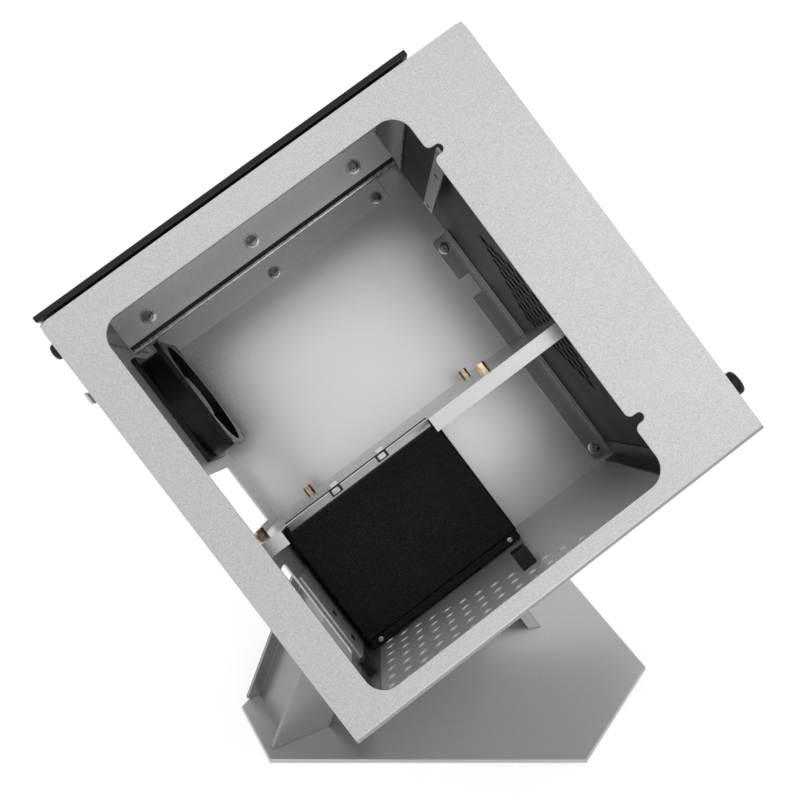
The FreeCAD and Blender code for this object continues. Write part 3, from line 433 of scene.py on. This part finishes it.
# Rail screws: round heads with a hexagon socket, each on a plain washer
railScrews = {"head": 0.0033, "high": 0.0026, "socket": 0.0018, "deep": 0.0014,
              "washer": 0.0047, "washerHigh": 0.0006, "washerRound": 0.0002,
              "places": [(0.0367, 0.2573, 0.165), (0.1118, 0.2573, 0.165), (0.1869, 0.2573, 0.165),
                         (0.1107, 0.2544, 0.0032), (0.2016, 0.2544, 0.0032),
                         (0.2196, 0.0135, 0.0032), (0.2196, 0.1955, 0.0032)]}
headRound = 0.35


def socketScrew(look):
    head = addCylinder("socketScrew", look["head"], 0, look["high"])
    roundEdges(head, look["high"] * headRound, 4)
    punch = addCylinder("punch", look["socket"], look["high"] - look["deep"],
                        look["high"] + look["deep"], hexagon)
    applyModifier(head, "BOOLEAN", object=punch, operation="DIFFERENCE", solver="EXACT")
    remove(punch)
    return head


spots = [at(*place) for place in railScrews["places"]]
complete(copies("railScrewHeads", socketScrew(railScrews), spots), "greySteel",
         replaced="rail_screws")
washer = addCylinder("washer", railScrews["washer"], 0, railScrews["washerHigh"])
roundEdges(washer, railScrews["washerRound"], 2)
complete(copies("railWashers", washer, spots), "brightSteel")
print("rail screws placed:", len(spots))

# Cross rail: a hemmed lower edge below a dark strip of painted shade in the seam
crossHem = {"left": 0.0170, "right": 0.2095, "face": 0.165, "hemLow": 0.2436, "hemHigh": 0.2460,
            "hemBehind": 0.002, "hemProud": 0.0014, "hemRound": 0.0009,
            "seamShadeHigh": 0.2484, "seamShadeProud": 0.0002}
hem = addBlock("crossHem",
               (crossHem["left"], crossHem["hemLow"], crossHem["face"] - crossHem["hemBehind"]),
               (crossHem["right"], crossHem["hemHigh"], crossHem["face"] + crossHem["hemProud"]))
roundEdges(hem, crossHem["hemRound"], 4)
complete(hem, "brightSteel")
seamShade = addBlock("crossSeamShade", (crossHem["left"], crossHem["hemHigh"], crossHem["face"]),
                (crossHem["right"], crossHem["seamShadeHigh"], crossHem["face"] + crossHem["seamShadeProud"]))
complete(seamShade, "blackRubberAndShade")

# Corner strips: bright beads along their free edges, as left, right, low and high
cornerBeads = {"back": 0.018, "front": 0.261,
               "sections": [(0.0080, 0.0090, 0.2584, 0.2592), (0.0154, 0.0163, 0.2660, 0.2668),
                            (0.2108, 0.2118, 0.2660, 0.2668), (0.2260, 0.2269, 0.2584, 0.2592)]}
beads = [addBlock("bead", (left, low, cornerBeads["back"]), (right, high, cornerBeads["front"]))
         for left, right, low, high in cornerBeads["sections"]]
complete(joinAll("cornerBeads", beads), "brightSteel")

# Hanger strip: painted shade as a dark end behind the notch, and as dark discs over its two holes
hangerTrim = {"capLow": (0.2182, 0.2146, 0.2668), "capHigh": (0.2198, 0.2236, 0.2683),
              "hole": 0.0018, "holeHigh": 0.0003,
              "holes": [(0.2182, 0.2191, 0.088), (0.2182, 0.2191, 0.204)]}
cap = addBlock("hangerEnd", hangerTrim["capLow"], hangerTrim["capHigh"])
complete(cap, "darkInnerPaintedShade")
disc = addCylinder("disc", hangerTrim["hole"], 0, hangerTrim["holeHigh"], fewSides)
complete(copies("hangerHoles", disc, [at(*place) @ toRight for place in hangerTrim["holes"]]),
         "blackRubberAndShade")

# Power button and rear knob: fluted side, domed end
powerButton = {"radius": 0.007, "low": -0.004, "shoulder": 0.0054, "flutes": 72, "groove": 0.00035,
               "place": (0.270, 0.027, 0.255),
               "dome": [(0.0009, 0.95), (0.0007, 0.86), (0.0004, 0.7), (0.0002, 0.5)]}
rearKnob = {"radius": 0.0046, "low": -0.0062, "shoulder": 0.0032, "flutes": 48, "groove": 0.00022,
            "place": (0.0, 0.2565, 0.254),
            "dome": [(0.0009, 0.93), (0.0007, 0.82), (0.0004, 0.66), (0.0002, 0.45)]}
upright = 0.1


def selectFaces(obj, wanted):
    bpy.ops.mesh.select_all(action="DESELECT")
    bpy.ops.object.mode_set(mode="OBJECT")
    for face in obj.data.polygons:
        face.select = wanted(face)
    bpy.ops.object.mode_set(mode="EDIT")


def flutedKnob(name, look):
    knob = addCylinder(name, look["radius"], look["low"], look["shoulder"], look["flutes"])
    settle(knob)
    sides = sorted((face for face in knob.data.polygons if abs(face.normal.z) < upright),
                   key=lambda face: math.atan2(face.normal.y, face.normal.x))
    fluted = {face.index for face in sides[::2]}
    bpy.ops.object.mode_set(mode="EDIT")
    bpy.ops.mesh.select_mode(type="FACE")
    selectFaces(knob, lambda face: face.normal.z > squareOn)
    for rise, scale in look["dome"]:
        bpy.ops.mesh.extrude_region_move(TRANSFORM_OT_translate={"value": (0, 0, rise)})
        bpy.ops.transform.resize(value=(scale, scale, 1), center_override=(0, 0, 0))
    selectFaces(knob, lambda face: face.index in fluted)
    bpy.ops.mesh.inset(thickness=look["groove"] / 4, depth=-look["groove"], use_individual=True)
    bpy.ops.object.mode_set(mode="OBJECT")
    return knob


complete(flutedKnob("flutedButton", powerButton), "blackPlasticAndShade", "button", "power_button",
         caseMatrix @ at(*powerButton["place"]) @ toRight)
complete(flutedKnob("flutedRearKnob", rearKnob), "blackPlasticAndShade", "case", "rear_knob",
         caseMatrix @ at(*rearKnob["place"]) @ toRear)
print("button and knob shaped")

# Fan: cambered blades on a stepped hub
fan = {"place": (0.0177, 0.2084, 0.085), "hub": 0.016, "half": 0.0065, "hubRound": 0.0012,
       "sides": 64, "step": 0.72, "stepHigh": 0.0004, "blades": 7, "root": 0.0150, "tip": 0.0364,
       "chord": 0.0150, "thick": 0.0013, "pitch": 52, "camber": 42, "twist": 14}
hub = addCylinder("hub", fan["hub"], -fan["half"], fan["half"], fan["sides"])
roundEdges(hub, fan["hubRound"], 4)
step = addCylinder("step", fan["hub"] * fan["step"], fan["half"], fan["half"] + fan["stepHigh"],
                   fan["sides"])
bpy.ops.mesh.primitive_grid_add(x_subdivisions=12, y_subdivisions=10, size=1)
blade = bpy.context.object
blade.scale = (fan["tip"] - fan["root"], fan["chord"], 1)
settle(blade)
for method, key in (("BEND", "camber"), ("TWIST", "twist")):
    applyModifier(blade, "SIMPLE_DEFORM", deform_method=method, deform_axis="X",
                  angle=math.radians(fan[key]))
applyModifier(blade, "SOLIDIFY", thickness=fan["thick"], offset=0)
settle(blade, at((fan["root"] + fan["tip"]) / 2, 0, 0) @ turned(fan["pitch"], "X"))
blades = copies("blades", blade, [Matrix.Rotation(2 * math.pi * i / fan["blades"], 4, "Z")
                                  for i in range(fan["blades"])])
complete(joinAll("camberedImpeller", [hub, step, blades]), "blackPlasticAndShade", "impeller",
         "fan_impeller", caseMatrix @ at(*fan["place"]) @ toRight)

# Fan guard: wire rings and four arms behind the rear wall
fanGuard = {"place": (0.0049, *fan["place"][1:]), "rings": (0.012, 0.022, 0.032), "wire": 0.0009,
            "arms": 4, "firstArm": 45, "armEnd": 0.0470, "armSides": 12}
guard = []
for radius in fanGuard["rings"]:
    deselectAll()
    bpy.ops.mesh.primitive_torus_add(major_radius=radius, minor_radius=fanGuard["wire"],
                                     major_segments=72, minor_segments=10)
    guard.append(bpy.context.object)
for i in range(fanGuard["arms"]):
    arm = addCylinder("guardArm", fanGuard["wire"], fanGuard["rings"][0], fanGuard["armEnd"],
                      fanGuard["armSides"])
    settle(arm, turned(fanGuard["firstArm"] + 360 / fanGuard["arms"] * i, "Z") @ toRight)
    guard.append(arm)
complete(joinAll("fanGuard", guard), "brightSteel",
         matrix=caseMatrix @ at(*fanGuard["place"]) @ toRight)
print("fan shaped")

# Power supply: chassis screws, and the bracket beside it on the rear wall in the lighter satin copy
# as painted light, with dark marks of painted shade in its two slots
supplyTrim = {"screws": [(0.0200, 0.0066, 0.0647), (0.1290, 0.0066, 0.0647)],
              "head": 0.0019, "high": 0.0010, "headRound": 0.0004,
              "bracketLow": (0.0074, 0.0060, 0.0500), "bracketHigh": (0.0086, 0.0760, 0.1120),
              "bracketRound": 0.0003, "slotShadeSize": (0.0002, 0.0040, 0.0080),
              "slotShadeLow": [(0.0086, 0.0400, 0.0840), (0.0086, 0.0200, 0.0840)]}
screw = addCylinder("supplyScrew", supplyTrim["head"], 0, supplyTrim["high"], fewSides)
roundEdges(screw, supplyTrim["headRound"])
complete(copies("supplyScrews", screw, [at(*place) for place in supplyTrim["screws"]]),
         "brightSteel")
bracket = addBlock("supplyBracket", supplyTrim["bracketLow"], supplyTrim["bracketHigh"])
roundEdges(bracket, supplyTrim["bracketRound"], 2)
complete(bracket, "satinInnerPaintedLight")
slotShades = [addBlock("slotShade", low, [a + b for a, b in zip(low, supplyTrim["slotShadeSize"])])
        for low in supplyTrim["slotShadeLow"]]
complete(joinAll("slotShadeMarks", slotShades), "blackRubberAndShade")

# Board tray: a lip behind the cable recess in a darker copy of the sheet as painted shade, lined in
# black as painted shade, with two steel tongues on black blocks of painted shade. The lip and the
# shade lines are given as low, high, back and front.
trayTrim = {"left": 0.0320, "right": 0.1300, "lip": (0.1064, 0.1108, 0.2106, 0.2122),
            "lipRound": 0.0004, "lines": [(0.1056, 0.1064, 0.2106, 0.2126),
                                          (0.1115, 0.1122, 0.2112, 0.2128)],
            "clips": [(0.0655, 0.1098, 0.2122), (0.0975, 0.1098, 0.2122)],
            "tongue": [(-0.0027, -0.0017, 0.0002), (0.0027, 0.0017, 0.0022)], "tongueRound": 0.0009,
            "foot": [(-0.0036, -0.0022, 0), (0.0038, 0.0022, 0.0006)], "footRound": 0.0003}


def trayStrip(name, low, high, back, front):
    return addBlock(name, (trayTrim["left"], low, back), (trayTrim["right"], high, front))


lip = trayStrip("recessLip", *trayTrim["lip"])
roundEdges(lip, trayTrim["lipRound"])
complete(lip, "greyInnerPaintedShade")
lines = [trayStrip("recessShadeLine", *line) for line in trayTrim["lines"]]
complete(joinAll("recessShadeLines", lines), "blackRubberAndShade")
clipSpots = [at(*place) for place in trayTrim["clips"]]
tongue = addBlock("tongue", *trayTrim["tongue"])
roundEdges(tongue, trayTrim["tongueRound"], 4)
complete(copies("clipTongues", tongue, clipSpots), "brightSteel")
foot = addBlock("foot", *trayTrim["foot"])
roundEdges(foot, trayTrim["footRound"])
complete(copies("clipShadeBlocks", foot, clipSpots), "blackPlasticAndShade")

# Outside screws on the right cover and the back wall
outsideScrews = {"head": 0.0030, "high": 0.0014, "socket": 0.0015, "deep": 0.0008,
                 "right": [(0.270, 0.014, 0.014), (0.270, 0.256, 0.014),
                           (0.270, 0.256, 0.250), (0.270, 0.060, 0.255)],
                 "back": [(0.020, 0.250, 0.0), (0.250, 0.250, 0.0),
                          (0.250, 0.020, 0.0), (0.020, 0.110, 0.0)]}
for side, turn in (("right", toRight), ("back", toBack)):
    places = [at(*place) @ turn for place in outsideScrews[side]]
    complete(copies(side + "Screws", socketScrew(outsideScrews), places), "brightSteel")
print("small parts placed")

# Studio: pale floor, white surroundings, five soft boxes; each aim is a height over the base
floorLook = {"size": 8.0, "below": -0.0002, "glow": 0.52, "Base Color": (0.8, 0.8, 0.8, 1),
             "Roughness": 0.9, "Specular IOR Level": 0.1, "Emission Color": (1, 1, 1, 1)}
softBoxes = {
    "keyBox": {"place": (-0.9, -1.3, 2.0), "aim": 0.2, "size": 1.4, "power": 0.4},
    "frontBox": {"place": (0.48, -1.52, 1.45), "aim": 0.25, "size": 1.0, "power": 0.3},
    "rightBox": {"place": (0.76, -1.24, 1.63), "aim": 0.25, "size": 0.7, "power": 2.0},
    "lowBox": {"place": (0.73, -1.42, 0.34), "aim": 0.25, "size": 0.8, "power": 2.0},
    "roofBox": {"place": (-0.75, -0.75, 2.15), "aim": 0.2, "size": 1.4, "power": 5.0},
}
# the room's light on dull surfaces: a bright band two thirds of the way up, dimmer on the left
roomLight = {"height": 0.62, "band": (1.0, 0.42, 0.06, 0.26), "side": (0.84, 1.0, -0.20, 0.08)}


def backdropRays(tree):
    # one for the camera, for reflections and through glass
    path = addNode(tree, "ShaderNodeLightPath")
    seen = maths(tree, "MAXIMUM", path.outputs["Is Camera Ray"], path.outputs["Is Glossy Ray"])
    return maths(tree, "MAXIMUM", seen, path.outputs["Is Transmission Ray"])


def paleFloor():
    deselectAll()
    bpy.ops.mesh.primitive_plane_add(size=floorLook["size"], location=(0, 0, floorLook["below"]))
    floor = bpy.context.object
    floor.name = "paleFloor"
    material, tree, shader = startMaterial("floorPaper")
    for socket in ("Base Color", "Roughness", "Specular IOR Level", "Emission Color"):
        shader.inputs[socket].default_value = floorLook[socket]
    glow = maths(tree, "MULTIPLY", backdropRays(tree), floorLook["glow"])
    tree.links.new(glow, shader.inputs["Emission Strength"])
    paint(floor, material)


def softBox(name, look):
    deselectAll()
    bpy.ops.object.light_add(type="AREA", location=look["place"])
    lamp = bpy.context.object
    lamp.name = name
    lamp.data.shape = "DISK"
    lamp.data.size = look["size"]
    lamp.data.energy = look["power"]
    ray = Vector((0, 0, look["aim"])) - Vector(look["place"])
    lamp.rotation_euler = ray.to_track_quat("-Z", "Y").to_euler()


def surroundings():
    world = bpy.data.worlds.new("whiteStudio")
    bpy.context.scene.world = world
    world.use_nodes = True
    tree = world.node_tree
    background = tree.nodes["Background"]
    coords = addNode(tree, "ShaderNodeTexCoord")
    parts = addNode(tree, "ShaderNodeSeparateXYZ")
    tree.links.new(coords.outputs["Generated"], parts.inputs["Vector"])
    above = maths(tree, "SUBTRACT", parts.outputs["Z"], roomLight["height"])
    band = spread(tree, maths(tree, "ABSOLUTE", above), *roomLight["band"])
    side = spread(tree, parts.outputs["X"], *roomLight["side"])
    lift = addNode(tree, "ShaderNodeMix", data_type="FLOAT")
    tree.links.new(backdropRays(tree), lift.inputs["Factor"])
    tree.links.new(maths(tree, "MULTIPLY", band, side), lift.inputs[2])
    lift.inputs[3].default_value = 1.0
    tree.links.new(lift.outputs[0], background.inputs["Strength"])
    background.inputs["Color"].default_value = (1, 1, 1, 1)


# The camera is fitted to the photograph; focal length and axis are in pixels of its width
photoView = {"place": (0.0317, -0.6565, 0.7297), "tilt": 54, "focal": 1313.5,
             "axis": (502.58, 366.29), "width": 800, "sensor": 36.0, "near": 0.02}


def photoCamera():
    deselectAll()
    bpy.ops.object.camera_add(location=photoView["place"],
                              rotation=(math.radians(photoView["tilt"]), 0, 0))
    camera = bpy.context.object
    width = photoView["width"]
    camera.data.sensor_width = photoView["sensor"]
    camera.data.sensor_fit = "HORIZONTAL"
    camera.data.lens = photoView["focal"] * photoView["sensor"] / width
    camera.data.shift_x = (width / 2 - photoView["axis"][0]) / width
    camera.data.shift_y = (photoView["axis"][1] - width / 2) / width
    camera.data.clip_start = photoView["near"]
    bpy.context.scene.camera = camera


paleFloor()
for name, look in softBoxes.items():
    softBox(name, look)
surroundings()
photoCamera()
bpy.context.scene.view_settings.view_transform = "Standard"
print("studio ready")
